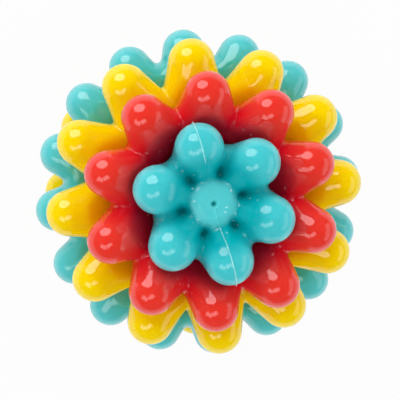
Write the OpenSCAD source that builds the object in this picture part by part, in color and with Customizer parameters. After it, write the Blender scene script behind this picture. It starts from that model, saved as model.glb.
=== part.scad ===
/* [Centre ring] */
// Number of petals on the centre ring
centre_petals = 16; // [12:1:16]
// Distance from the ball's centre to the tips of the centre petals
centre_reach = 55; // [53:0.5:60]
// Radius of the round tip of a centre petal
centre_tip_r = 7.1; // [6:0.05:7.3]
// Outer radius of the centre ring's body, at the bottom of its valleys
centre_body_r = 45.5; // [42:0.5:46]
// Radius of a centre petal where it leaves the ring's body
centre_root_r = 7.6; // [7.1:0.1:8]
// Turn of the first centre petal about the ball's axis
centre_turn_angle = 96.6; // [0:0.1:120]

/* [Yellow rings] */
// Number of petals on a yellow ring
yellow_petals = 12; // [10:1:13]
// Distance from the ball's centre to the tips of the yellow petals
yellow_reach = 55; // [53:0.5:60]
// Radius of the round tip of a yellow petal
yellow_tip_r = 7.45; // [6:0.05:7.5]
// Outer radius of a yellow ring's body
yellow_body_r = 39.5; // [38:0.5:43]
// Radius of a yellow petal where it leaves the ring's body
yellow_root_r = 9; // [7.5:0.1:9.4]
// Angle between the ball's axis and the yellow petals
yellow_lean_angle = 68.2; // [67.5:0.1:70]
// Turn of the first petal of the front yellow ring
front_yellow_turn_angle = 96.2; // [0:0.1:120]
// Turn of the first petal of the rear yellow ring
rear_yellow_turn_angle = 91; // [0:0.1:120]

/* [Red rings] */
// Number of petals on a red ring
red_petals = 10; // [8:1:11]
// Distance from the ball's centre to the tips of the red petals
red_reach = 55; // [53:0.5:60]
// Radius of the round tip of a red petal
red_tip_r = 7.3; // [6:0.05:7.5]
// Outer radius of a red ring's body
red_body_r = 38.5; // [37:0.5:43]
// Radius of a red petal where it leaves the ring's body
red_root_r = 9; // [7.5:0.1:9.4]
// Angle between the ball's axis and the red petals
red_lean_angle = 44.9; // [44.5:0.1:46]
// Turn of the first petal of the front red ring
front_red_turn_angle = 92.5; // [0:0.1:120]
// Turn of the first petal of the rear red ring
rear_red_turn_angle = 104; // [0:0.1:120]

/* [Caps] */
// Number of petals on a cap
cap_petals = 6; // [5:1:6]
// Distance from the ball's centre to the tips of the cap petals
cap_reach = 52.4; // [50:0.1:56]
// Radius of the round tip of a cap petal
cap_tip_r = 7.6; // [6.5:0.05:7.6]
// Outer radius of a cap's dome
cap_body_r = 34; // [33:0.5:36]
// Radius of a cap petal where it leaves the dome
cap_root_r = 8.8; // [7.6:0.1:9]
// Angle between the ball's axis and the cap petals
cap_lean_angle = 24.1; // [23.5:0.1:24.5]
// Turn of the first petal of the front cap
front_cap_turn_angle = 105.2; // [0:0.1:120]
// Turn of the first petal of the rear cap
rear_cap_turn_angle = 80; // [0:0.1:120]
// Height of the centre knob's tip above the ball's centre
knob_reach = 38.5; // [37:0.1:44]
// Radius of the centre knob
knob_r = 7.2; // [6:0.1:7.6]
// Radius of the dome on top of the knob
knob_dome_r = 9; // [8:0.5:14]

/* [Skins] */
// Wall of every soft hollow moulding
skin_wall = 2; // [1.6:0.1:2.2]
// Depth by which the cone of a petal is tucked inside its round tip
petal_tuck = 0.05; // [0.02:0.01:0.1]
// Angle from the axis of the split between a cap and its red ring
cap_split_angle = 34.9; // [34.6:0.1:35.5]
// Angle from the axis of the split between a red and a yellow ring
red_split_angle = 57.3; // [56.5:0.1:58]
// Angle from the axis of the split between a yellow ring and the centre ring
yellow_split_angle = 79.7; // [79.4:0.1:80]
// Gap between the facing walls of two neighbouring mouldings
split_gap = 0.6; // [0.5:0.1:0.8]

/* [Hubs] */
// Radius of the mouth in the centre ring, where its hub's rim fits
centre_mouth_r = 27; // [26:0.5:28]
// Radius of the mouth in a yellow ring
yellow_mouth_r = 22; // [21:0.5:23]
// Radius of the mouth in a red ring
red_mouth_r = 17; // [16.5:0.5:18]
// Radius of the mouth in a cap
cap_mouth_r = 12; // [11.5:0.1:12.4]
// Depth of the rim that a skin's lips close over
rim_bite = 3; // [2:0.1:4]
// Depth of the solid rim inside the mouth
rim_depth = 3.4; // [2.5:0.1:3.5]
// Thickness of a hub's flat web
web_t = 2.4; // [1.8:0.1:2.6]
// Height of a web above the low end of its sleeve
web_lift = 0.3; // [0:0.1:1]
// Outer radius of a hub's sleeve
sleeve_r = 8.2; // [7.5:0.1:9]
// Height of the centre hub's sleeve
centre_sleeve_h = 9; // [8:0.5:10]
// Height of the sleeve of a yellow or red hub
sleeve_h = 7; // [6:0.5:7.5]
// Clearance between a skin and the rim that it closes over
skin_clearance = 0.1; // [0.05:0.05:0.2]

/* [Spindle] */
// Radius of the axle
axle_r = 5; // [4:0.1:5.5]
// Radial clearance of a hub on the axle
bore_clearance = 0.06; // [0.03:0.01:0.1]
// Thickness of a thrust washer
washer_t = 0.8; // [0.6:0.1:1]
// Outer radius of a thrust washer
washer_r = 8.2; // [7:0.1:9]
// Play on each side of a thrust washer
washer_play = 0.1; // [0.05:0.05:0.15]
// Width across the two flats on each end of the axle
key_w = 7.6; // [6.5:0.1:8]
// Length of the flats on each end of the axle
key_len = 5; // [4:0.5:5]
// Clearance between the flats and the plug
key_clearance = 0.08; // [0.05:0.01:0.15]
// Thickness of the plug's floor under the screw head
plug_floor = 2.2; // [1.6:0.1:3]
// Radius of the plug's boss round the axle's end
plug_boss_r = 7.5; // [7:0.1:8]
// Height of the plug above the edge of its barb
barb_t = 1; // [0.6:0.1:1.2]
// Radial gap between the plug's skirt and the sleeve and washer inside it
skirt_gap = 0.6; // [0.4:0.1:1]
// Radius of the screw's thread
screw_r = 2; // [1.5:0.1:2.5]
// Length of the screw under its head
screw_len = 12; // [8:1:16]
// Radius of the screw's head
screw_head_r = 4; // [3:0.1:5]
// Height of the screw's head
screw_head_h = 2.6; // [2:0.1:3]
// Clearance round the screw's thread
screw_clearance = 0.05; // [0.03:0.01:0.2]
// Width across the flats of the screw's hexagon socket
socket_w = 2.5; // [2:0.5:3]
// Depth of the screw's hexagon socket
socket_depth = 1.4; // [1:0.1:1.6]

/* [Hidden] */
$fn = 96;

turquoise = [0.27, 0.76, 0.78];
red = [0.89, 0.22, 0.18];
yellow = [0.95, 0.82, 0.0];
rigid_white = [0.9, 0.9, 0.88];
axle_grey = [0.62, 0.64, 0.66];
steel = [0.72, 0.73, 0.75];
washer_black = [0.15, 0.15, 0.16];

overrun = 1;
side_gap = split_gap / 2;
bore_r = axle_r + bore_clearance;
full_reach = max(centre_reach, yellow_reach, red_reach, cap_reach);
centre_lean_angle = 90;
rear_split_angle = 2 * centre_lean_angle - yellow_split_angle;

// Heights of the stack on the axle, from the centre outwards
step = washer_t + 2 * washer_play;
yellow_sleeve_z = centre_sleeve_h / 2 + step;
red_sleeve_z = yellow_sleeve_z + sleeve_h + step;
plug_z = red_sleeve_z + sleeve_h + step;
plug_floor_z = plug_z + key_len;
axle_half = plug_floor_z - washer_play;
screw_head_z = plug_floor_z + plug_floor;
yellow_washer_z = yellow_sleeve_z - washer_play - washer_t;
red_washer_z = red_sleeve_z - washer_play - washer_t;
cap_washer_z = plug_z - washer_play - washer_t;

// Height at radius a of a cone from the ball's centre, shifted square to itself by d
function above(a, split, d) = a / tan(split) + d / sin(split);
function below(a, split, d) = a / tan(split) - d / sin(split);

// Tapered petal on the Z axis, with a round tip
module petal(reach, tip_r, body_r, root_r, inset) {
    middle = reach - tip_r;
    taper = asin((root_r - tip_r) / (middle - body_r));
    start = body_r - root_r;
    end = middle + (tip_r - inset) * sin(taper);
    end_r = (tip_r - inset) * cos(taper) - petal_tuck;
    translate([0, 0, start])
        cylinder(h = end - start, r1 = end_r + (end - start) * tan(taper), r2 = end_r);
    translate([0, 0, middle])
        sphere(r = tip_r - inset);
}

// Space between two split cones, each moved in by d
module wedge(low, high, inner_a, d) {
    far = full_reach + overrun;
    rotate_extrude()
        polygon([
            [inner_a, above(inner_a, low, d)],
            [far, above(far, low, d)],
            [far, below(far, high, d)],
            [inner_a, below(inner_a, high, d)]
        ]);
}

// Outer form of a ring, or its hollow when inset by the wall
module ring_form(low, high, mouth_r, count, lean, reach, tip_r, body_r, root_r, inset) {
    intersection() {
        union() {
            sphere(r = body_r - inset);
            for (i = [0 : count - 1])
                rotate([0, 0, i * 360 / count])
                    rotate([0, lean, 0])
                        petal(reach, tip_r, body_r, root_r, inset);
        }
        wedge(low, high, mouth_r, side_gap + inset);
    }
}

module ring_skin(low, high, mouth_r, count, turn, lean, reach, tip_r, body_r, root_r) {
    rotate([0, 0, turn])
        difference() {
            ring_form(low, high, mouth_r, count, lean, reach, tip_r, body_r, root_r, 0);
            ring_form(low, high, mouth_r - overrun, count, lean, reach, tip_r, body_r, root_r,
                skin_wall);
        }
}

// Rim that a ring's two lips close over, web and sleeve of a hub
module ring_hub(low, high, mouth_r, web_z, sleeve_z, height) {
    rim_in = mouth_r - rim_depth;
    rim_out = mouth_r + rim_bite;
    step_a = mouth_r - skin_clearance;
    bite = side_gap + skin_wall + skin_clearance;
    difference() {
        union() {
            translate([0, 0, sleeve_z])
                cylinder(h = height, r = sleeve_r);
            translate([0, 0, web_z])
                cylinder(h = web_t, r = rim_in + overrun);
            rotate_extrude()
                polygon([
                    [rim_in, above(rim_in, low, side_gap)],
                    [step_a, above(step_a, low, side_gap)],
                    [step_a, above(step_a, low, bite)],
                    [rim_out, above(rim_out, low, bite)],
                    [rim_out, below(rim_out, high, bite)],
                    [step_a, below(step_a, high, bite)],
                    [step_a, below(step_a, high, side_gap)],
                    [rim_in, below(rim_in, high, side_gap)]
                ]);
        }
        translate([0, 0, sleeve_z - overrun])
            cylinder(h = height + 2 * overrun, r = bore_r);
    }
}

module thrust_washer(z) {
    color(washer_black)
        difference() {
            translate([0, 0, z])
                cylinder(h = washer_t, r = washer_r);
            translate([0, 0, z - overrun])
                cylinder(h = washer_t + 2 * overrun, r = bore_r);
        }
}

// Front half, which the rear half mirrors
module red_ring(turn) {
    color(red)
        ring_skin(red_split_angle, cap_split_angle, red_mouth_r, red_petals, turn, red_lean_angle,
            red_reach, red_tip_r, red_body_r, red_root_r);
}

module red_hub() {
    color(rigid_white)
        ring_hub(red_split_angle, cap_split_angle, red_mouth_r, red_sleeve_z + web_lift,
            red_sleeve_z, sleeve_h);
}

module yellow_ring(turn) {
    color(yellow)
        ring_skin(yellow_split_angle, red_split_angle, yellow_mouth_r, yellow_petals, turn,
            yellow_lean_angle, yellow_reach, yellow_tip_r, yellow_body_r, yellow_root_r);
}

module yellow_hub() {
    color(rigid_white)
        ring_hub(yellow_split_angle, red_split_angle, yellow_mouth_r, yellow_sleeve_z + web_lift,
            yellow_sleeve_z, sleeve_h);
}

// Outer form of a cap, or its hollow when inset by the wall
module cap_form(floor_z, inset) {
    d = side_gap + inset;
    far = full_reach + overrun;
    intersection() {
        union() {
            sphere(r = cap_body_r - inset);
            for (i = [0 : cap_petals - 1])
                rotate([0, 0, i * 360 / cap_petals])
                    rotate([0, cap_lean_angle, 0])
                        petal(cap_reach, cap_tip_r, cap_body_r, cap_root_r, inset);
            intersection() {
                cylinder(h = knob_reach, r = knob_r - inset);
                translate([0, 0, knob_reach - knob_dome_r])
                    sphere(r = knob_dome_r - inset);
            }
        }
        rotate_extrude()
            polygon([
                [0, floor_z],
                [cap_mouth_r, floor_z],
                [cap_mouth_r, above(cap_mouth_r, cap_split_angle, d)],
                [far, above(far, cap_split_angle, d)],
                [0, above(far, cap_split_angle, d)]
            ]);
    }
}

module cap(turn) {
    mouth_z = above(cap_mouth_r, cap_split_angle, side_gap);
    color(turquoise)
        rotate([0, 0, turn])
            difference() {
                cap_form(mouth_z, 0);
                cap_form(mouth_z - overrun, skin_wall);
            }
}

// Plug that a cap's lip closes over, keyed and screwed to the axle's end
module cap_plug() {
    skirt_a = sleeve_r + skirt_gap;
    step_a = cap_mouth_r - skin_clearance;
    barb_a = cap_mouth_r + rim_bite;
    barb_d = side_gap + skin_wall + skin_clearance;
    barb_z = above(barb_a, cap_split_angle, barb_d);
    color(rigid_white)
        difference() {
            union() {
                rotate_extrude()
                    polygon([
                        [0, plug_z],
                        [skirt_a, plug_z],
                        [skirt_a, above(step_a, cap_split_angle, side_gap)],
                        [step_a, above(step_a, cap_split_angle, side_gap)],
                        [step_a, above(step_a, cap_split_angle, barb_d)],
                        [barb_a, barb_z],
                        [step_a, barb_z + barb_t],
                        [0, barb_z + barb_t]
                    ]);
                translate([0, 0, plug_z])
                    cylinder(h = screw_head_z - plug_z, r = plug_boss_r);
            }
            translate([0, 0, plug_z - overrun])
                cylinder(h = full_reach, r = screw_r + screw_clearance);
            intersection() {
                translate([0, 0, plug_z - overrun])
                    cylinder(h = key_len + overrun, r = bore_r);
                translate([-full_reach, -key_w / 2 - key_clearance, plug_z - overrun])
                    cube([2 * full_reach, key_w + 2 * key_clearance, key_len + overrun]);
            }
        }
}

module plug_screw() {
    color(steel)
        difference() {
            union() {
                translate([0, 0, screw_head_z])
                    cylinder(h = screw_head_h, r = screw_head_r);
                translate([0, 0, screw_head_z - screw_len])
                    cylinder(h = screw_len + overrun, r = screw_r);
            }
            translate([0, 0, screw_head_z + screw_head_h - socket_depth])
                cylinder(h = full_reach, r = socket_w / 2 / cos(30), $fn = 6);
        }
}

module rear() {
    mirror([0, 0, 1])
        children();
}

module centre_ring() {
    color(turquoise)
        ring_skin(rear_split_angle, yellow_split_angle, centre_mouth_r, centre_petals,
            centre_turn_angle, centre_lean_angle, centre_reach, centre_tip_r, centre_body_r,
            centre_root_r);
}

module centre_hub() {
    color(rigid_white)
        ring_hub(rear_split_angle, yellow_split_angle, centre_mouth_r, -web_t / 2,
            -centre_sleeve_h / 2, centre_sleeve_h);
}

module axle() {
    color(axle_grey)
        difference() {
            translate([0, 0, -axle_half])
                cylinder(h = 2 * axle_half, r = axle_r);
            for (side = [0, 1])
                mirror([0, 0, side]) {
                    for (flat = [0, 1])
                        mirror([0, flat, 0])
                            translate([-axle_r, key_w / 2, plug_z - washer_play])
                                cube([2 * axle_r, axle_r, axle_half]);
                    translate([0, 0, screw_head_z - screw_len - overrun])
                        cylinder(h = axle_half, r = screw_r + screw_clearance);
                }
        }
}

cap(front_cap_turn_angle);  // front_cap
cap_plug();  // front_cap_plug
plug_screw();  // front_plug_screw
thrust_washer(cap_washer_z);  // front_cap_washer
red_ring(front_red_turn_angle);  // front_red_ring
red_hub();  // front_red_hub
thrust_washer(red_washer_z);  // front_red_washer
yellow_ring(front_yellow_turn_angle);  // front_yellow_ring
yellow_hub();  // front_yellow_hub
thrust_washer(yellow_washer_z);  // front_yellow_washer
centre_ring();
centre_hub();
axle();
rear() thrust_washer(yellow_washer_z);  // rear_yellow_washer
rear() yellow_ring(rear_yellow_turn_angle);  // rear_yellow_ring
rear() yellow_hub();  // rear_yellow_hub
rear() thrust_washer(red_washer_z);  // rear_red_washer
rear() red_ring(rear_red_turn_angle);  // rear_red_ring
rear() red_hub();  // rear_red_hub
rear() thrust_washer(cap_washer_z);  // rear_cap_washer
rear() cap(rear_cap_turn_angle);  // rear_cap
rear() cap_plug();  // rear_cap_plug
rear() plug_screw();  // rear_plug_screw
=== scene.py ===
# %% [markdown]
# A ball of soft petals
#
# This lesson dresses a small ball for a baby's hands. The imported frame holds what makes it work:
# an axle, a hub for each ring, thrust washers, plugs and screws. What people see and touch are
# seven hollow mouldings in soft, glossy vinyl that close over those hubs. They could be pushed
# into shape by hand with subdivision surfaces. Here each one is a formula, the distance from a
# point to its skin, because petals that melt into a ring are easy to say as distances, and
# because every petal of a moulded ring is exactly like the next.

# %% Load the frame
import math
from dataclasses import dataclass
from itertools import product

import bpy
import numpy as np
from mathutils import Matrix, Vector


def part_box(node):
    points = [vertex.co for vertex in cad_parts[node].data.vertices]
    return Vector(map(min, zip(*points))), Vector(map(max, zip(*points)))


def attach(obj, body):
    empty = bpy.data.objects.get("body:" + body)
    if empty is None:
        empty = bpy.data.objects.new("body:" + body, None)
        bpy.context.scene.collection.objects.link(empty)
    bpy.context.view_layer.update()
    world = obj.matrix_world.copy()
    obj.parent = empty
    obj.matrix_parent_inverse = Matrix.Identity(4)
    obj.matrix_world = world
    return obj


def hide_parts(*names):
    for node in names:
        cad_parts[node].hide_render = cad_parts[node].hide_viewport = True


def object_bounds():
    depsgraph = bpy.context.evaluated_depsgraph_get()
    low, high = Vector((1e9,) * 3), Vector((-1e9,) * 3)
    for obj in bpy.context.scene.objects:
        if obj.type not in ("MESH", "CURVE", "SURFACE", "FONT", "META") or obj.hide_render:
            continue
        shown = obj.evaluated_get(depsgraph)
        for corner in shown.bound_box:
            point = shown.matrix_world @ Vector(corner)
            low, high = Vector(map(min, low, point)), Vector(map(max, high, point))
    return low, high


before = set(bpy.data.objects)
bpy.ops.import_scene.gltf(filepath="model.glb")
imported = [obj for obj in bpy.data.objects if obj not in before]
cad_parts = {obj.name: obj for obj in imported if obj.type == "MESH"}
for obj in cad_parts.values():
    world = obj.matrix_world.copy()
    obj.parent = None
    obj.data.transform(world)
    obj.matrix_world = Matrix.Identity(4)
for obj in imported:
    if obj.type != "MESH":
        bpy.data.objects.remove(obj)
cad_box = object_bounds()
bpy.context.scene.view_settings.view_transform = "Standard"

# %% [markdown]
# Units
#
# The scene is in metres, but a toy like this is designed in millimetres, so the sizes below are
# written in millimetres and scaled once, where a mesh or a place enters the scene.

# %% Millimetres
MM = 0.001  # metres

# %% [markdown]
# The camera
#
# The photograph looks down on the front cap from a little to one side: the axle leans away from
# the line of sight by 8 degrees, towards the lower right. A long lens from 44 cm keeps the petals
# at the rim from spreading. The camera could be aimed with a Track To constraint, but a matrix
# built from the axle's direction as the camera sees it says the same in three lines, and keeps
# the picture's right and up along X and Y.

# %% Camera
AXLE_SEEN = Vector((0.115, -0.0869, 0.9895)).normalized()  # right, up and near in the picture
CAMERA_AWAY = 442.4                # mm from the ball's centre
SENSOR_WIDTH = 36                  # mm
FOCAL_SHARE = 3.2875               # focal length for a sensor that is 1 wide
CENTRE_SEEN_PX = (199.14, 192.88)  # where the picture shows the ball's centre
IMAGE_PX = 400

to_camera = Vector((0, 0, 1)).rotation_difference(AXLE_SEEN).to_matrix()
from_camera = to_camera.transposed()


def in_view(right, up, near):
    """A direction given as the camera sees it, in the frame's own axes."""
    return from_camera @ Vector((right, up, near))


camera_data = bpy.data.cameras.new("camera")
camera_data.sensor_width = SENSOR_WIDTH
camera_data.lens = FOCAL_SHARE * SENSOR_WIDTH
camera_data.shift_x = (IMAGE_PX / 2 - CENTRE_SEEN_PX[0]) / IMAGE_PX
camera_data.shift_y = (CENTRE_SEEN_PX[1] - IMAGE_PX / 2) / IMAGE_PX
camera = bpy.data.objects.new("camera", camera_data)
camera.matrix_world = Matrix.Translation(in_view(0, 0, CAMERA_AWAY * MM)) @ from_camera.to_4x4()
bpy.context.scene.collection.objects.link(camera)
bpy.context.scene.camera = camera
print("camera at", [round(c, 3) for c in camera.matrix_world.translation])

# %% [markdown]
# Distances that melt together
#
# A petal is a round cone: two balls of different size with a cone stretched over them. Taking the
# smaller of two distances joins two forms with a hard crease. A soft minimum rounds that crease,
# as the mould's own rounded edges do, and its third number is about how wide the rounding is.

# %% Soft joins
NUDGE = 0.01  # mm, less than can be seen


def soft_min(a, b, width):
    """Join of two forms, rounded where they meet."""
    near = np.maximum(width - np.abs(a - b), 0) / width
    return np.minimum(a, b) - near * near * width / 4


def soft_max(a, b, width):
    """Overlap of two forms, with its edge rounded."""
    return -soft_min(-a, -b, width)


def round_cone(along, aside, low, low_r, high, high_r):
    """Distance to two balls on a line and the cone over them."""
    length = high - low
    slope = (low_r - high_r) / length
    cosine = math.sqrt(1 - slope * slope)
    y = along - low
    side = cosine * y - slope * aside
    on_cone = aside * cosine + y * slope - low_r
    on_low = np.hypot(aside, y) - low_r
    on_high = np.hypot(aside, y - length) - high_r
    return np.where(side < 0, on_low, np.where(side > cosine * length, on_high, on_cone))


# %% [markdown]
# The sizes of a moulding
#
# Every ring and cap is told by the same dozen sizes. The split angles are where one moulding ends
# and the next begins: cones about the axle, seen from the ball's centre.

# %% Sizes of the mouldings
@dataclass
class Moulding:
    petals: int          # number of petals
    lean: float          # degrees between the axle and a petal
    reach: float         # from the ball's centre to a petal's tip
    tip_r: float         # radius of a petal's round tip
    body_r: float        # radius of the body, at the bottom of the valleys
    root_r: float        # radius of a petal where it leaves the body
    web: float           # rounding between neighbouring petals
    foot: float          # rounding between the petals and the body
    edge: float          # rounding of the edge along a split
    fill: float          # how square a petal grows where it is squeezed
    split: tuple         # degrees from the axle to the split below and the split above
    mouth_r: float       # radius of the hole that closes over the hub


CENTRE = Moulding(16, 90, 54.9, 7, 45.5, 7.6, 1.2, 1.5, 0.9, 2, (100.3, 79.7), 27)
YELLOW = Moulding(12, 68.2, 54.8, 7.45, 39.4, 9.1, 1.4, 1.5, 0.9, 2, (79.7, 57.3), 22)
RED = Moulding(10, 44.9, 54.8, 7.25, 38.3, 9.4, 1.4, 1.5, 0.9, 2, (57.3, 34.9), 17)
CAP = Moulding(6, 23.9, 52.25, 7.6, 32.5, 9, 3.4, 1.5, 0.9, 0.6, (34.9, 0), 12)
WALL = 2         # thickness of the vinyl
SPLIT_GAP = 0.3  # from a split to the moulding on either side
ROOT_DEPTH = 8   # how deep a petal's cone goes into the body
print("petals on the rings and a cap:", [m.petals for m in (CENTRE, YELLOW, RED, CAP)])

# %% [markdown]
# One petal stands for all
#
# Folding the space about the axle, like a paper flower, lets one petal serve for six or sixteen:
# each point is measured in the petal that it is nearest to, and in that petal's neighbour, so
# that the crease between the two is rounded as well. Near its root a petal is wider than the room
# between the rings above and below it. Cutting it off there would leave flat facets, so it is
# squeezed instead, and its section goes from a circle to a rounded box that fills the room.

# %% One petal
def full_oval(flat, wide, squeeze, fill):
    """Distance from the middle of a section that is squeezed one way, and squarer for it."""
    power = 2 * squeeze ** fill
    a = np.abs(flat) * squeeze
    b = np.abs(wide)
    larger = np.maximum(np.maximum(a, b), NUDGE)
    return larger * (1 + (np.minimum(a, b) / larger) ** power) ** (1 / power)


def petal_distance(m, across, turned, z):
    """Distance to the petal that stands where turned is zero."""
    lean = math.radians(m.lean)
    out = across * np.cos(turned)
    along = out * math.sin(lean) + z * math.cos(lean)
    polar = out * math.cos(lean) - z * math.sin(lean)
    tip = m.reach - m.tip_r
    low = m.body_r - ROOT_DEPTH
    taper = (m.root_r - m.tip_r) / (tip - m.body_r)
    within = np.clip(along, low, tip)
    radius = m.tip_r + taper * (tip - within)
    rear_room = within * math.tan(math.radians(m.split[0] - m.lean)) - SPLIT_GAP
    front_room = within * math.tan(math.radians(m.lean - m.split[1])) - SPLIT_GAP
    squeeze = np.maximum(1, radius / np.where(polar > 0, rear_room, front_room))
    aside = full_oval(polar, across * np.sin(turned), squeeze, m.fill)
    return round_cone(along, aside, low, m.root_r + taper * ROOT_DEPTH, tip, m.tip_r)


# %% Petals and splits
def all_petals(m, x, y, z, web=None):
    """Distance to the petals of a moulding, joined where they meet."""
    pitch = math.tau / m.petals
    across = np.hypot(x, y)
    turned = np.arctan2(y, x)
    turned = np.abs(turned - pitch * np.round(turned / pitch))
    own = petal_distance(m, across, turned, z)
    next_one = petal_distance(m, across, pitch - turned, z)
    return soft_min(own, next_one, m.web if web is None else web)


def below_split(degrees, across, z):
    """How far a point lies on the rear side of a split cone."""
    angle = math.radians(degrees)
    return across * math.cos(angle) - z * math.sin(angle)


# %% [markdown]
# A hollow ring
#
# Between its petals a ring is rounded like a tyre, so a valley has a crest in the middle and falls
# away to the splits on both sides. The tyre stands on a smaller ball, which closes it on the
# inside. The mouldings are hollow, with an even wall, and open at the mouth where the hub's rim
# sits. A Solidify modifier would thicken a sheet, but it tears in tight creases. With distances
# the inside is the same form, moved in by the wall and cut away.

# %% Skin of a ring
TYRE_FILL = 0.95  # how much of the room between the splits the tyre fills
TYRE_RISE = 4     # height of the tyre's crest over the ball that it stands on


def tyre(m, across, z):
    """Distance to the body of a ring."""
    middle = math.radians(sum(m.split) / 2)
    thick = TYRE_FILL * m.body_r * math.sin(math.radians((m.split[0] - m.split[1]) / 2))
    centre = m.body_r - thick
    round_it = np.hypot(across - centre * math.sin(middle), z - centre * math.cos(middle)) - thick
    return soft_min(round_it, np.hypot(across, z) - (m.body_r - TYRE_RISE), m.foot)


def ring_skin(m):
    """The form of one ring, as a function of place."""
    low, high = m.split

    def wedge(across, z, moved_in, edge):
        front = moved_in - below_split(high, across, z)
        rear = moved_in + below_split(low, across, z)
        return soft_max(front, rear, edge)

    def form(x, y, z):
        across = np.hypot(x, y)
        whole = soft_min(all_petals(m, x, y, z), tyre(m, across, z), m.foot)
        outside = soft_max(whole, wedge(across, z, SPLIT_GAP, m.edge), m.edge)
        inside = soft_max(whole + WALL, wedge(across, z, SPLIT_GAP + WALL, m.edge), m.edge)
        return np.maximum(np.maximum(outside, m.mouth_r - across), -inside)

    return form


# %% [markdown]
# The cap
#
# A cap has no split above it. Its dome carries a low, flat-topped knob in the middle of the six
# petals, and on the knob the small sunken mark of the gate, where the vinyl entered the mould. Its
# petals melt together on the outside in a web that thins to a crease towards the knob, and each
# crease ends in a small pit. The mould's two halves met in a plane through the axle and two of the
# petals. They left a fine raised line, which is worn low beside the gate on one side and rises to
# a nib of flash on the outer side of both petals. All of that is geometry, because such marks
# catch the light at the outline, which a bump map wouldn't do.

# %% Marks of the mould
LINE_W = 0.2      # half the width of the parting line
LINE_H = 0.26     # its height
NIB_H = 0.35      # how much higher it stands at a nib
NIB_LEAN = 33     # degrees between the axle and a nib
NIB_SPREAD = 1.6  # degrees from a nib's top to its foot
WORN_AT = 7       # from the axle to the middle of the worn stretch
WORN_SPREAD = 4   # half the length of that stretch
WORN_OFF = 0.8    # share of the line's height that is worn off there
GATE_R = 0.85     # radius of the gate mark
GATE_DEPTH = 0.8
LIP_R = 1.5       # radius of the ragged lip round the gate
LIP_W = 0.45
LIP_H = 0.2
LIP_RAGGED = 0.6  # share of the lip's height that comes and goes on the way round
PIT_AWAY = 10.2   # from the axle to a pit
PIT_R = 1.7
PIT_DEPTH = 1.4


def bell(distance, width):
    """One in the middle, fading to nothing at about twice the width."""
    return np.exp(-((distance / width) ** 2))


def mould_marks(x, y, z):
    """How far the parting line, its nibs, the gate mark and the pits raise the skin of a cap."""
    across = np.hypot(x, y)
    turned = np.arctan2(y, x)
    lean = np.degrees(np.arctan2(across, z))
    line = (LINE_H + NIB_H * bell(lean - NIB_LEAN, NIB_SPREAD)) * bell(y, LINE_W)
    line = line * (1 - bell(across, LIP_R)) * (1 - WORN_OFF * bell(x - WORN_AT, WORN_SPREAD))
    lip = LIP_H * (1 + LIP_RAGGED * np.cos(3 * turned + 1)) * bell(across - LIP_R, LIP_W)
    gate = lip - GATE_DEPTH * bell(across, GATE_R)
    petal_pitch = math.tau / CAP.petals
    beside = np.abs(np.mod(turned, petal_pitch) - petal_pitch / 2)
    pit = PIT_DEPTH * bell(across - PIT_AWAY, PIT_R) * bell(PIT_AWAY * beside, PIT_R)
    return line + gate - pit


# %% Skin of a cap
KNOB_R = 8.3        # radius of the knob
KNOB_TOP = 39.2     # from the ball's centre to its flat top
KNOB_EDGE = 4.2     # rounding of its rim
KNOB_FOOT = 2.6     # rounding between the knob and the petals
KNOB_WANDER = 0.15  # how far its side strays from a circle
CREASE = 1.4        # rounding between the petals where they meet in a crease
CREASE_TO = 11.5    # from the axle to the outer end of the creases
WEB_FROM = 16.5     # from the axle to where the web is whole


def cap_skin(m):
    """The form of a cap, as a function of place."""

    def knob(across, turned, z):
        wander = KNOB_WANDER * (np.cos(2 * turned + 1) + 0.6 * np.cos(5 * turned))
        side = np.maximum(across - (KNOB_R + wander - KNOB_EDGE), 0)
        top = np.maximum(z - (KNOB_TOP - KNOB_EDGE), 0)
        return np.hypot(side, top) - KNOB_EDGE

    def form(x, y, z):
        across = np.hypot(x, y)
        outward = np.clip((across - CREASE_TO) / (WEB_FROM - CREASE_TO), 0, 1)
        web = CREASE + (m.web - CREASE) * outward * outward * (3 - 2 * outward)
        whole = soft_min(all_petals(m, x, y, z, web), np.hypot(across, z) - m.body_r, m.foot)
        whole = soft_min(whole, knob(across, np.arctan2(y, x), z), KNOB_FOOT)
        cone = below_split(m.split[0], across, z)
        outside = soft_max(whole - mould_marks(x, y, z), SPLIT_GAP + cone, m.edge)
        inside = np.maximum(whole + WALL, np.minimum(SPLIT_GAP + WALL + cone, across - m.mouth_r))
        return np.maximum(outside, -inside)

    return form


# %% [markdown]
# From formula to mesh
#
# Marching cubes is the well known way to a mesh, but it leaves long thin triangles that show as
# ripples in a gloss. A surface net does better: it puts one corner in each box of a grid that the
# skin passes through, and joins the four corners round each grid edge that pierces it. The result
# is all quads, and most of them are even. Then each corner slides to the middle of its neighbours
# and is brought back onto the skin.

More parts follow.
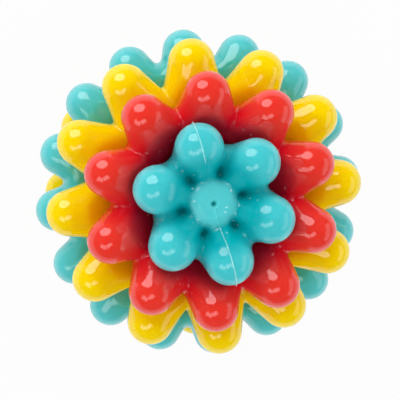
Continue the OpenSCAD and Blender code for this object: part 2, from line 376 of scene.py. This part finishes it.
# %% Surface net
def surface_net(form, xs, ys, zs):
    """Corners and quads of a net round the places where form changes its sign."""
    inside = form(*np.meshgrid(xs, ys, zs, indexing="ij")) < 0
    cells = [n - 1 for n in inside.shape]
    count = np.zeros(cells, int)
    for corner in product((0, 1), repeat=3):
        count += inside[tuple(slice(c, c + n) for c, n in zip(corner, cells))]
    crossed = (count > 0) & (count < 8)  # some of a box's eight corners inside, but not all
    number = np.full(cells, -1)
    number[crossed] = np.arange(crossed.sum())
    place = np.argwhere(crossed)
    middles = [(ticks[:-1] + ticks[1:]) / 2 for ticks in (xs, ys, zs)]
    corners = np.stack([middles[axis][place[:, axis]] for axis in range(3)], -1)
    quads = []
    for axis in range(3):
        start = np.moveaxis(inside, axis, 0)
        pierced = start[:-1, 1:-1, 1:-1] != start[1:, 1:-1, 1:-1]
        step, u, v = np.nonzero(pierced)
        cell = np.moveaxis(number, axis, 0)
        quad = np.stack([cell[step, u, v], cell[step, u + 1, v], cell[step, u + 1, v + 1],
                         cell[step, u, v + 1]], -1)
        leaving = start[step, u + 1, v + 1] ^ (axis == 1)
        quads.append(np.where(leaving[:, None], quad, quad[:, ::-1]))
    return corners, np.concatenate(quads)


# %% Onto the skin
FLATTEST = 0.1  # least square of a slope that a point is moved by


def slope_at(form, p):
    """Gradient of a form at each point."""
    columns = []
    for axis in range(3):
        step = np.zeros(3)
        step[axis] = NUDGE
        columns.append((form(*(p + step).T) - form(*(p - step).T)) / (2 * NUDGE))
    return np.stack(columns, -1)


def onto_skin(form, p, longest):
    """Points moved along the slope until they lie on the skin."""
    slope = slope_at(form, p)
    move = slope * (form(*p.T) / np.maximum((slope * slope).sum(-1), FLATTEST))[:, None]
    size = np.linalg.norm(move, axis=-1, keepdims=True)
    return p - move * np.minimum(1, longest / np.maximum(size, longest * NUDGE))


def even_out(form, p, quads, free, pitch, rounds=4):
    """Corners slid to the middle of their neighbours, and back onto the skin."""
    a = np.concatenate([quads[:, i] for i in range(4)])
    b = np.concatenate([quads[:, (i + 1) % 4] for i in range(4)])
    ends, others = np.concatenate([a, b]), np.concatenate([b, a])
    degree = np.bincount(ends, minlength=len(p))[:, None]
    for _ in range(rounds):
        total = np.stack([np.bincount(ends, p[others, k], len(p)) for k in range(3)], -1)
        p = np.where(free(p)[:, None], (p + total / degree) / 2, p)
        p = onto_skin(form, p, pitch)
    return p


# %% [markdown]
# A piece in the scene
#
# The net is laid in the moulding's own place, with its first petal along X, and then turned to
# where the photograph shows it. The rear half of the ball mirrors the front half, so a rear piece
# is the same net with its heights reversed.

# %% Moulded piece
PITCH = 0.65  # mm between the ticks of the grid
MARGIN = 1.5                    # mm from the node to the edge of the grid
LANDING = 3                     # moves that bring a corner from its box onto the skin


def ruler(low, high, pitch, finer=()):
    """Grid ticks from low to high, closer together near zero where finer asks for it."""
    ticks = [0.0]
    while ticks[-1] < max(abs(low), abs(high)):
        step = min([pitch] + [close for until, close in finer if ticks[-1] < until])
        ticks.append(ticks[-1] + step)
    ticks = np.array(ticks)
    both = np.concatenate([-ticks[:0:-1], ticks])
    return both[(both >= low - pitch) & (both <= high + pitch)]


def net_of(form, node, finer_x=(), finer_y=(), free=None, pitch=PITCH):
    """The even net of a form, in the space that a node of the front half takes."""
    low, high = (np.array(corner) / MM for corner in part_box(node))
    wide = max(*np.abs(low[:2]), *np.abs(high[:2])) + MARGIN
    xs = ruler(-wide, wide, pitch, finer_x)
    ys = ruler(-wide, wide, pitch, finer_y)
    zs = np.arange(low[2] - MARGIN, high[2] + MARGIN + pitch, pitch)
    corners, quads = surface_net(form, xs, ys, zs)
    for _ in range(LANDING):
        corners = onto_skin(form, corners, pitch)
    free = free or (lambda p: np.ones(len(p), bool))
    return even_out(form, corners, quads, free, pitch), quads


def moulded_piece(name, net, turn, node, body, material):
    """Puts a net into the scene as a piece that stands for a node and rides on a body."""
    corners, quads = net
    if node.startswith("rear"):
        corners, quads = corners * (1, 1, -1), quads[:, ::-1]
    turned = Matrix.Rotation(math.radians(turn), 3, "Z")
    mesh = bpy.data.meshes.new(name)
    mesh.from_pydata((corners @ np.array(turned).T * MM).tolist(), [], quads.tolist())
    mesh.shade_smooth()
    mesh.materials.append(material)
    piece = bpy.data.objects.new(name, mesh)
    bpy.context.scene.collection.objects.link(piece)
    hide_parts(node)
    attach(piece, body)
    print(name, len(corners), "corners,", len(quads), "quads")


# %% [markdown]
# Colours and nodes
#
# Colours are picked as a screen shows them, as sRGB hex, but a shader works in linear light, so
# one function turns the first into the second. A second one adds any shader node with its
# settings and links, which keeps each material short enough to read as a recipe.

# %% Colour and node helpers
def linear(code):
    """Linear colour of an sRGB hex code."""
    parts = [int(code[i:i + 2], 16) / 255 for i in (1, 3, 5)]
    return [c / 12.92 if c <= 0.04045 else ((c + 0.055) / 1.055) ** 2.4 for c in parts] + [1]


def add_node(tree, kind, inputs=None, **settings):
    """Adds a node. Its settings go by name, and each input is a value or another node's socket."""
    node = tree.nodes.new(kind)
    for name, value in settings.items():
        setattr(node, name, value)
    for name, value in (inputs or {}).items():
        if isinstance(value, bpy.types.NodeSocket):
            tree.links.new(value, node.inputs[name])
        else:
            node.inputs[name].default_value = value
    return node


def per_metre(size_mm):
    """Scale of a texture whose features are that many millimetres wide."""
    return 1 / (size_mm * MM)


def new_material(name):
    """A material whose node tree is empty, and that tree."""
    material = bpy.data.materials.new(name)
    material.use_nodes = True
    material.node_tree.nodes.clear()
    return material, material.node_tree


# %% [markdown]
# Soft vinyl
#
# The skins are plasticised PVC, rotation moulded in polished tools. Such vinyl sweats a thin film
# of plasticiser, which gives it a crisp, wet looking gloss. That film is the shader's coat. The
# vinyl under it has a broad, milky gloss of its own, but only the centre ring is lent a little of
# it: on the other mouldings it laid a grey veil that the real ones don't have. Some light sinks
# in and comes out coloured, so valleys glow. The valleys also get a colour of their own, a
# painted shade that gives way to the colour of the tips further out. The index of refraction of
# soft PVC is 1.53. That of the film would be 1.49, but 1.6 matched the pale rims. Slow waves in
# the skin make the mirrored windows wobble. In the valleys of the caps and the red rings lie
# pinhead flecks of vinyl, raised a little and painted white as glints.

# %% Painted shade by depth
VALLEY_AWAY = 40  # mm from the ball's centre, up to which the vinyl has its painted valley shade
TIP_AWAY = 52     # mm from the ball's centre, beyond which it has the colour of the tips
CLOUD_W = 9       # width of the clouds that make the change between them uneven
CLOUD_REACH = 6   # mm from the least to the most that the clouds add


def depth_in_ball(tree, place):
    """Distance from the ball's centre, in metres, made uneven by clouds."""
    away = add_node(tree, "ShaderNodeVectorMath", {0: place}, operation="LENGTH")
    clouds = add_node(tree, "ShaderNodeTexNoise", {"Vector": place, "Scale": per_metre(CLOUD_W),
                      "Detail": 3})
    uneven = add_node(tree, "ShaderNodeMath", {0: clouds.outputs["Fac"], 1: CLOUD_REACH * MM,
                      2: -CLOUD_REACH * MM / 2}, operation="MULTIPLY_ADD")
    return add_node(tree, "ShaderNodeMath", {0: away.outputs["Value"], 1: uneven.outputs[0]},
                    operation="ADD").outputs[0]


def paint_shade_by_depth(tree, away, face, painted_valley_shade):
    """Painted shade: the valleys' own colour near the ball's centre, and the colour of the tips
    outside.
    """
    thin = add_node(tree, "ShaderNodeMapRange", {"Value": away, "From Min": VALLEY_AWAY * MM,
                    "From Max": TIP_AWAY * MM}, interpolation_type="SMOOTHSTEP")
    return add_node(tree, "ShaderNodeMix", {"Factor": thin.outputs["Result"], "A": linear(painted_valley_shade),
                    "B": linear(face)}, data_type="RGBA").outputs["Result"]


# %% Flecks in the valleys, painted white as glints
FLECK_APART = 3.4  # mm from fleck to fleck
FLECK_R = 0.46     # radius of a fleck
FLECK_H = 0.2      # its height
FLECK_WARP = 4     # mm by which flecks are pulled out of the round
FLECKS_BELOW = 47  # mm from the ball's centre to the outermost flecks
FLECKS_FADE = 5    # mm over which the flecks set in


def flecks_painted_as_glints(tree, place, smears, away, fleck_glint):
    """How white a place is painted, as a glint: the given share in a fleck's middle, 0 elsewhere.
    """
    warped = add_node(tree, "ShaderNodeVectorMath", {0: smears.outputs["Color"],
                      1: (FLECK_WARP * MM,) * 3, 2: place}, operation="MULTIPLY_ADD")
    cells = add_node(tree, "ShaderNodeTexVoronoi", {"Vector": warped.outputs[0],
                     "Scale": per_metre(FLECK_APART)})
    spots = add_node(tree, "ShaderNodeMapRange", {"Value": cells.outputs["Distance"],
                     "From Max": FLECK_R / FLECK_APART, "To Min": fleck_glint, "To Max": 0})
    deep_down = add_node(tree, "ShaderNodeMapRange", {"Value": away, "From Min":
                         (FLECKS_BELOW - FLECKS_FADE) * MM, "From Max": FLECKS_BELOW * MM,
                         "To Min": 1, "To Max": 0})
    return add_node(tree, "ShaderNodeMath", {0: spots.outputs["Result"],
                    1: deep_down.outputs["Result"]}, operation="MULTIPLY").outputs[0]


# %% Soft vinyl material
SMEAR_W = 5              # width of the smears in the gloss
SMEARS = (0.35, 0.7)     # levels of the noise between which the gloss changes
DULLNESS = (0.42, 0.56)  # roughness of the vinyl under the film
WAVE_W = 6               # width of the slow waves
WAVE_H = 0.1             # their height
GLOW_DEPTH = 3           # mm that light sinks in


def soft_vinyl(name, face, painted_valley_shade, milk, fleck_glint, marks=None):
    """Glossy plasticised PVC with painted valley shade. marks adds one piece's own wear and paint.
    """
    material, tree = new_material(name)
    place = add_node(tree, "ShaderNodeTexCoord").outputs["Object"]
    away = depth_in_ball(tree, place)
    # Painted shade: the valleys get a colour of their own, for how they look in shade.
    tint = paint_shade_by_depth(tree, away, face, painted_valley_shade)
    tint, film = marks(tree, place, tint) if marks else (tint, 1)
    smears = add_node(tree, "ShaderNodeTexNoise", {"Vector": place, "Scale": per_metre(SMEAR_W),
                      "Detail": 4})
    gloss = add_node(tree, "ShaderNodeMapRange", {
        "Value": smears.outputs["Fac"], "From Min": SMEARS[0], "From Max": SMEARS[1],
        "To Min": DULLNESS[0], "To Max": DULLNESS[1]})
    waves = add_node(tree, "ShaderNodeTexNoise", {"Vector": place, "Scale": per_metre(WAVE_W),
                     "Detail": 2})
    wobble = add_node(tree, "ShaderNodeBump", {"Height": waves.outputs["Fac"], "Strength": 1,
                      "Distance": WAVE_H * MM})
    flecks_and_glints = flecks_painted_as_glints(tree, place, smears, away, fleck_glint)
    # Painted glints: the flecks are painted white, and the same share raises them a little.
    tint = add_node(tree, "ShaderNodeMix", {"Factor": flecks_and_glints, "A": tint,
                    "B": linear("#FFFFFF")}, data_type="RGBA").outputs["Result"]
    skin = add_node(tree, "ShaderNodeBump", {"Height": flecks_and_glints, "Strength": 1,
                    "Distance": FLECK_H * MM, "Normal": wobble.outputs["Normal"]})
    shader = add_node(tree, "ShaderNodeBsdfPrincipled", {
        "Base Color": tint, "Roughness": gloss.outputs["Result"], "IOR": 1.53,
        "Specular IOR Level": milk,
        "Coat Weight": film, "Coat Roughness": 0.02, "Coat IOR": 1.6,
        "Normal": wobble.outputs["Normal"], "Coat Normal": skin.outputs["Normal"],
        "Subsurface Weight": 0.7, "Subsurface Scale": GLOW_DEPTH * MM,
        "Subsurface Radius": (1, 1, 1)})
    add_node(tree, "ShaderNodeOutputMaterial", {"Surface": shader.outputs["BSDF"]})
    return material


# The second colour of each vinyl is the painted shade of its valleys.
turquoise_vinyl = soft_vinyl("turquoise_soft_vinyl", "#54C6CA", "#44BEBC", milk=0.2, fleck_glint=0)
red_vinyl = soft_vinyl("red_soft_vinyl", "#E4382C", "#E00020", milk=0, fleck_glint=0.35)
yellow_vinyl = soft_vinyl("yellow_soft_vinyl", "#F8D000", "#FFD400", milk=0, fleck_glint=0)
for vinyl in (turquoise_vinyl, red_vinyl, yellow_vinyl):
    print(vinyl.name, "from", len(vinyl.node_tree.nodes), "nodes")

# %% [markdown]
# Wear, painted shade and painted highlights on the caps
#
# The knob is what a thumb rubs, and most of its film is gone, so it is duller than the petals.
# It is painted paler too, up to a ragged edge: partly the whitening of rubbed vinyl, partly a
# painted sheen. Its gate is painted dark, a painted shade in the small hole. Round the knob the
# inner halves of the petals are painted a deeper teal, a painted shade where they lie in shadow.
# The flash along the parting line is a broken pale thread, partly whitened flash and partly a
# painted highlight along the ridge, and it is rubbed bare on the knob and on the foot of one
# petal. These marks could be painted on an image. Here they are laid over one another like coats
# of paint, each told by a distance. The place is turned back by the turn of the cap, so that its
# first petal lies along X again and the parting line is simply where Y is zero.

# %% Cap vinyl
RAGGED_W = 3        # width of the tears in the edge of the rubbed knob
RAGGED_REACH = 2.4  # mm that they move it
SCUFF_W = 1.5       # width of the scuffs along the parting line
BARE_AT = 3         # mm along X to the middle of the stretch that is rubbed bare
BARE_HALF = 10.5    # half the length of that stretch
FILM_LEFT = 0.25    # share of the film that is left on the knob
COATS = (           # a mark, mm to where it is full and to where it ends, and its colour
    # A painted shade: the inner halves of the petals round the knob are painted a deeper teal.
    ("dome", 11, 18, "#00A8B0"),
    # The knob is rubbed dull, and painted paler: partly the whitening of rubbed vinyl, partly a
    # painted sheen.
    ("knob", 7, 9.5, "#5CD0D4"),
    # The pale thread is partly whitened flash and partly a painted highlight along the ridge.
    ("line", 0.06, 0.28, "#B4F0F0"),
    # The gate is painted dark: a painted shade in its small hole.
    ("gate", 0.3, 1.2, "#129094"),
)


def cap_marks(tree, place, tint):
    """Colour and film of a cap: painted shade, rubbed pale knob, dark gate hole, pale line."""
    flat = add_node(tree, "ShaderNodeVectorMath", {0: place, 1: (1, 1, 0)}, operation="MULTIPLY")
    across = add_node(tree, "ShaderNodeVectorMath", {0: flat.outputs[0]},
                      operation="LENGTH").outputs["Value"]
    ragged = add_node(tree, "ShaderNodeTexNoise", {"Vector": place, "Scale": per_metre(RAGGED_W),
                      "Detail": 3})
    torn = add_node(tree, "ShaderNodeMath", {0: ragged.outputs["Fac"], 1: RAGGED_REACH * MM,
                    2: across}, operation="MULTIPLY_ADD")
    x_y_z = add_node(tree, "ShaderNodeSeparateXYZ", {0: place})
    from_line = add_node(tree, "ShaderNodeMath", {0: x_y_z.outputs["Y"]}, operation="ABSOLUTE")
    scuffs = add_node(tree, "ShaderNodeTexNoise", {"Vector": place, "Scale": per_metre(SCUFF_W),
                      "Detail": 2})
    bare = add_node(tree, "ShaderNodeMath", {0: x_y_z.outputs["X"], 1: BARE_AT * MM,
                    2: BARE_HALF * MM}, operation="COMPARE")
    scuffed = add_node(tree, "ShaderNodeMath", {0: scuffs.outputs["Fac"], 1: bare.outputs[0]},
                       operation="SUBTRACT", use_clamp=True)
    distances = {"dome": across, "knob": torn.outputs[0], "line": from_line.outputs[0],
                 "gate": across}
    shares = {}
    for mark, full, end, colour in COATS:
        fading = add_node(tree, "ShaderNodeMapRange", {
            "Value": distances[mark], "From Min": end * MM, "From Max": full * MM},
            interpolation_type="SMOOTHSTEP")
        share = add_node(tree, "ShaderNodeMath", {
            0: fading.outputs["Result"], 1: scuffed.outputs[0] if mark == "line" else 1},
            operation="MULTIPLY", use_clamp=True)
        tint = add_node(tree, "ShaderNodeMix", {"Factor": share.outputs[0], "A": tint,
                        "B": linear(colour)}, data_type="RGBA").outputs["Result"]
        shares[mark] = share.outputs[0]
    film = add_node(tree, "ShaderNodeMapRange", {"Value": shares["knob"], "To Min": 1,
                    "To Max": FILM_LEFT})
    return tint, film.outputs["Result"]


def cap_vinyl(name, turn):
    """Turquoise vinyl with the marks of a cap whose first petal stands at that turn."""
    def marks(tree, place, tint):
        own = add_node(tree, "ShaderNodeVectorRotate", {"Vector": place,
                       "Angle": -math.radians(turn)}, rotation_type="Z_AXIS")
        return cap_marks(tree, own.outputs["Vector"], tint)

    # The second colour is the painted shade of the cap's valleys.
    return soft_vinyl(name, "#48C4CA", "#00B0B8", milk=0, fleck_glint=0.8, marks=marks)


# %% [markdown]
# Hard plastics and steel inside
#
# Nobody sees the hubs, washers, axle, plugs and screws until a cap comes off. Each still takes
# the finish of its make. The hubs and plugs are injection moulded in natural white polypropylene,
# which looks cloudy and a little see-through. The washers are black acetal and the axle is a grey
# nylon rod, and both keep the rings of the lathe. Those lie about a tenth of a millimetre apart,
# so they are drawn much coarser here to show at all. The screws are steel with a thin coat of
# zinc, which shines in dull patches.

# %% A finish for the inner pieces
GRAIN_W = 0.4        # width of the grain of a moulded or plated skin
CLOUDS = (0.3, 0.7)  # levels of the noise between which the gloss changes
WAVE_RATE = 20       # a Wave texture goes through 20 radians in one unit of length


def hard_finish(name, pale, dark, patch, rough, ring, depth, **values):
    """Colour and gloss in patches, with lathe rings ring mm apart, or a fine grain for 0."""
    material, tree = new_material(name)
    place = add_node(tree, "ShaderNodeTexCoord").outputs["Object"]
    clouds = add_node(tree, "ShaderNodeTexNoise", {"Vector": place, "Scale": per_metre(patch),
                      "Detail": 4})
    tint = add_node(tree, "ShaderNodeMix", {"Factor": clouds.outputs["Fac"], "A": linear(dark),
                    "B": linear(pale)}, data_type="RGBA")
    gloss = add_node(tree, "ShaderNodeMapRange", {
        "Value": clouds.outputs["Fac"], "From Min": CLOUDS[0], "From Max": CLOUDS[1],
        "To Min": rough[0], "To Max": rough[1]})
    if ring:
        marks = add_node(tree, "ShaderNodeTexWave", {
            "Vector": place, "Scale": math.tau * per_metre(ring) / WAVE_RATE,
            "Distortion": 0.6, "Detail": 2}, wave_type="RINGS", rings_direction="SPHERICAL")
    else:
        marks = add_node(tree, "ShaderNodeTexNoise", {
            "Vector": place, "Scale": per_metre(GRAIN_W), "Detail": 2})
    relief = add_node(tree, "ShaderNodeBump", {"Height": marks.outputs["Fac"], "Strength": 1,
                      "Distance": depth * MM})
    shader = add_node(tree, "ShaderNodeBsdfPrincipled", {
        "Base Color": tint.outputs["Result"], "Roughness": gloss.outputs["Result"],
        "Normal": relief.outputs["Normal"], **values})
    add_node(tree, "ShaderNodeOutputMaterial", {"Surface": shader.outputs["BSDF"]})
    return material


# %% Finishes of the inner pieces
hub_plastic = hard_finish(
    "natural_white_moulded_polypropylene", "#ECEBE4", "#DEDCD2", patch=8, rough=(0.38, 0.5),
    ring=0, depth=0.01, IOR=1.49, **{"Subsurface Weight": 0.3, "Subsurface Scale": 2 * MM,
                                     "Subsurface Radius": (1, 1, 1)})
washer_plastic = hard_finish("black_acetal_turned", "#2C2C2E", "#222224", patch=3,
                             rough=(0.45, 0.6), ring=1.885, depth=0.01, IOR=1.48)
axle_plastic = hard_finish("grey_nylon_turned", "#A4A8AC", "#989CA2", patch=5, rough=(0.4, 0.55),
                           ring=2.513, depth=0.015, IOR=1.53)
screw_steel = hard_finish("zinc_plated_steel", "#C6CACE", "#AEB4BC", patch=1.5,
                          rough=(0.25, 0.42), ring=0, depth=0.006, Metallic=1)
FINISHES = {"hub": hub_plastic, "plug": hub_plastic, "washer": washer_plastic,
            "axle": axle_plastic, "screw": screw_steel}
for name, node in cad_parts.items():
    kind = name.split("_")[-1]
    if kind in FINISHES:
        node.data.materials.clear()
        node.data.materials.append(FINISHES[kind])
        print(name, "in", FINISHES[kind].name)

# %% [markdown]
# The rings
#
# Five rings come out of three moulds: a rear ring is a front one turned over. Each ring spins by
# itself on its hub, so its petals stand wherever a hand last left them. The turns of the front
# rings follow the photograph, and so does that of the rear yellow one, which shows through the
# valleys of the centre ring. That of the rear red one is free.

# %% Rings
centre_net = net_of(ring_skin(CENTRE), "centre_ring")
yellow_net = net_of(ring_skin(YELLOW), "front_yellow_ring")
red_net = net_of(ring_skin(RED), "front_red_ring")
RINGS = (  # the body that a ring is, its net, degrees from X to its first petal, and its vinyl
    ("centre", centre_net, 96.6, "turquoise_vinyl", turquoise_vinyl),
    ("front_yellow", yellow_net, 96.2, "yellow_vinyl", yellow_vinyl),
    ("rear_yellow", yellow_net, 91, "yellow_vinyl", yellow_vinyl),
    ("front_red", red_net, 92.5, "red_vinyl", red_vinyl),
    ("rear_red", red_net, 104, "red_vinyl", red_vinyl),
)
for body, net, turn, slot, vinyl in RINGS:
    moulded_piece(f"{body}_moulding", net, turn, f"{body}_ring", body, vinyl)

# %% [markdown]
# The caps
#
# Both caps come out of one mould too, and both are keyed to the axle, so they ride on the
# spindle. Their net is finer than that of the rings, and finest along the parting line and at the
# gate, whose marks are only a few tenths of a millimetre wide. Corners beside those marks don't
# slide, because that would pull the net off them. Each cap has a material of its own, turned to
# suit it.

# %% Caps
CAP_PITCH = 0.48
NEAR_LINE = ((0.6, 0.09), (1.8, 0.2))  # up to so many mm from the line, ticks so far apart
NEAR_GATE = ((1.8, 0.2),)
SLIDING_FROM = 2                       # mm from a mark to the first corners that slide
CAP_TURNS = {"front_cap": 105.2, "rear_cap": 80}


def clear_of_marks(p):
    """Which corners of a cap may slide: those away from the parting line and the gate mark."""
    return (np.abs(p[:, 1]) > SLIDING_FROM) & (np.abs(p[:, 0]) > SLIDING_FROM)


cap_net = net_of(cap_skin(CAP), "front_cap", NEAR_GATE, NEAR_LINE, clear_of_marks, CAP_PITCH)
for node, turn in CAP_TURNS.items():
    moulded_piece(f"{node}_moulding", cap_net, turn, node, "spindle",
                  cap_vinyl(f"turquoise_soft_vinyl_{node}", turn))

# %% [markdown]
# The paper under the ball
#
# The ball lies on white paper. More light would wash out the petals before the paper came out
# plain white, so the paper itself glows white for the camera, and for gloss and glass, which show
# it too. Away from the ball it is dimmer in the gloss, as the photograph's petals are bright only
# at their rims. The last twentieth of its light comes from the lamps, and keeps a trace of the
# ball's shadow. From below the paper is clear, so that a camera can look up at the ball.

# %% Floor
FLOOR_HALF = 3     # metres from the middle to an edge
FLOOR_BELOW = 0.1  # mm from the ball's lowest tips to the paper
LIT_TO = 220       # mm from the middle, up to which the gloss shows the paper in full
DIM_FROM = 340     # mm from the middle, beyond which the gloss shows it dimmed
DIM_SHARE = 0.3    # how much of it is left there
GLOWING = 0.95     # share of the paper's light that is its own


def plane(name, half, height):
    """A flat square about the axle, facing up."""
    mesh = bpy.data.meshes.new(name)
    corners = [(-half, -half, height), (half, -half, height), (half, half, height),
               (-half, half, height)]
    mesh.from_pydata(corners, [], [(0, 1, 2, 3)])
    made = bpy.data.objects.new(name, mesh)
    bpy.context.scene.collection.objects.link(made)
    return made


def paper_white():
    """Matt white paper that glows plain white where the camera or a reflection sees it."""
    material, tree = new_material("white_paper")
    rays = add_node(tree, "ShaderNodeLightPath")
    mirrored = add_node(tree, "ShaderNodeMath", {0: rays.outputs["Is Glossy Ray"],
                        1: rays.outputs["Is Transmission Ray"]}, operation="MAXIMUM")
    place = add_node(tree, "ShaderNodeTexCoord").outputs["Object"]
    away = add_node(tree, "ShaderNodeVectorMath", {0: place}, operation="LENGTH")
    lit = add_node(tree, "ShaderNodeMapRange", {
        "Value": away.outputs["Value"], "From Min": LIT_TO * MM, "From Max": DIM_FROM * MM,
        "To Min": 1, "To Max": DIM_SHARE}, interpolation_type="SMOOTHSTEP")
    seen = add_node(tree, "ShaderNodeMath", {0: mirrored.outputs[0], 1: lit.outputs["Result"],
                    2: rays.outputs["Is Camera Ray"]}, operation="MULTIPLY_ADD")
    share = add_node(tree, "ShaderNodeMath", {0: seen.outputs[0], 1: GLOWING},
                     operation="MULTIPLY")
    paper = add_node(tree, "ShaderNodeBsdfDiffuse", {"Color": linear("#D0D0D0")})
    glow = add_node(tree, "ShaderNodeEmission", {"Color": linear("#FFFFFF"), "Strength": 1})
    mixed = add_node(tree, "ShaderNodeMixShader", {0: share.outputs[0], 1: paper.outputs[0],
                     2: glow.outputs[0]})
    under = add_node(tree, "ShaderNodeNewGeometry").outputs["Backfacing"]
    clear = add_node(tree, "ShaderNodeBsdfTransparent")
    one_sided = add_node(tree, "ShaderNodeMixShader", {0: under, 1: mixed.outputs[0],
                         2: clear.outputs[0]})
    add_node(tree, "ShaderNodeOutputMaterial", {"Surface": one_sided.outputs[0]})
    return material


floor = plane("floor", FLOOR_HALF, cad_box[0].z - FLOOR_BELOW * MM)
floor.data.materials.append(paper_white())
print("paper at", round(floor.data.vertices[0].co.z / MM, 1), "mm")

# %% [markdown]
# Lamps
#
# A big soft box stands up on the left. What it does to the colours and what the gloss shows of it
# are matched best one by one, so each lamp here lights either colour or gloss. The soft box
# lights the colours, and its window is the small bright spot on every petal. Two panes low on the
# left, tilted against each other, make the curved mark below that spot, and a tall window on the
# right draws the faint streak along the right side of the petals. The window of the soft box hangs
# nearer than the soft box itself, because two lamps in one plane would hide each other.

# %% Lamps
WINDOW_AWAY = 1.2  # metres from the ball to the lamps that the gloss shows


def lamp(name, toward, wide, tall, glow, away=WINDOW_AWAY, roll=0, shape="RECTANGLE",
         seen_in="gloss"):
    """A panel of light, in a direction as the camera sees it, that lights gloss or colour."""
    data = bpy.data.lights.new(name, "AREA")
    data.shape = shape
    data.size = wide
    data.size_y = tall
    area = wide * tall * (math.pi / 4 if shape == "ELLIPSE" else 1)
    data.energy = glow * math.pi * area  # watts that make the panel glow times as bright as white
    made = bpy.data.objects.new(name, data)
    made.visible_diffuse = seen_in == "colour"
    made.visible_glossy = seen_in == "gloss"
    near = in_view(*toward).normalized()
    right = in_view(0, 1, 0).cross(near).normalized()
    turned = Matrix((right, near.cross(right), near)).transposed()
    turned = turned @ Matrix.Rotation(math.radians(roll), 3, "Z")
    made.matrix_world = Matrix.Translation(near * away) @ turned.to_4x4()
    bpy.context.scene.collection.objects.link(made)
    print(name, round(data.energy, 2), "W")


SOFT_BOX = (-0.37, 0.69, 0.62)
lamp("soft_box", SOFT_BOX, wide=1.7, tall=1.5, glow=1.42, away=1.5, shape="ELLIPSE",
     seen_in="colour")
lamp("soft_box_window", SOFT_BOX, wide=1.1, tall=0.9, glow=3.4, shape="ELLIPSE")
lamp("left_pane", (-0.52, -0.44, 0.73), wide=0.6, tall=0.4, glow=2.4, roll=-32)
lamp("right_pane", (-0.06, -0.36, 0.93), wide=0.6, tall=0.4, glow=2.4, roll=32)
lamp("side_window", (0.95, -0.16, 0.28), wide=0.6, tall=1.5, glow=1)

# %% [markdown]
# The room
#
# The world is the light between the lamps, and it isn't the same to every kind of ray. It is
# white to the camera and through anything clear. To the colours it is an even pale light that
# fills the valleys. To the gloss it is dim, because white walls would lay a veil over petals that
# the photograph shows in deep colour.

# %% World
FILL = 1.1         # strength of the light that fills the valleys
WALLS_LOW = 0.08   # strength of the walls in the gloss, at the ball's height
WALLS_HIGH = 0.02  # and straight above it

world = bpy.data.worlds.new("pale_room")
bpy.context.scene.world = world
world.use_nodes = True
room = world.node_tree
room.nodes.clear()
toward = add_node(room, "ShaderNodeTexCoord").outputs["Generated"]
up = add_node(room, "ShaderNodeSeparateXYZ", {0: toward}).outputs["Z"]
walls = add_node(room, "ShaderNodeMapRange", {"Value": up, "To Min": WALLS_LOW,
                 "To Max": WALLS_HIGH}, interpolation_type="SMOOTHSTEP")
rays = add_node(room, "ShaderNodeLightPath")
level = add_node(room, "ShaderNodeMapRange", {"Value": rays.outputs["Is Diffuse Ray"],
                 "To Min": walls.outputs[0], "To Max": FILL})
straight = add_node(room, "ShaderNodeMath", {0: rays.outputs["Is Camera Ray"],
                    1: rays.outputs["Is Transmission Ray"]}, operation="MAXIMUM")
shown = add_node(room, "ShaderNodeMath", {0: level.outputs[0], 1: straight.outputs[0]},
                 operation="MAXIMUM")
air = add_node(room, "ShaderNodeBackground", {"Color": linear("#FDFDFD"),
               "Strength": shown.outputs[0]})
add_node(room, "ShaderNodeOutputWorld", {"Surface": air.outputs[0]})

# %% [markdown]
# Boxes
#
# The box of the solids is printed in millimetres.

# %% Print the box of the solids
print("cad box", [round(c / MM, 1) for corner in cad_box for c in corner])
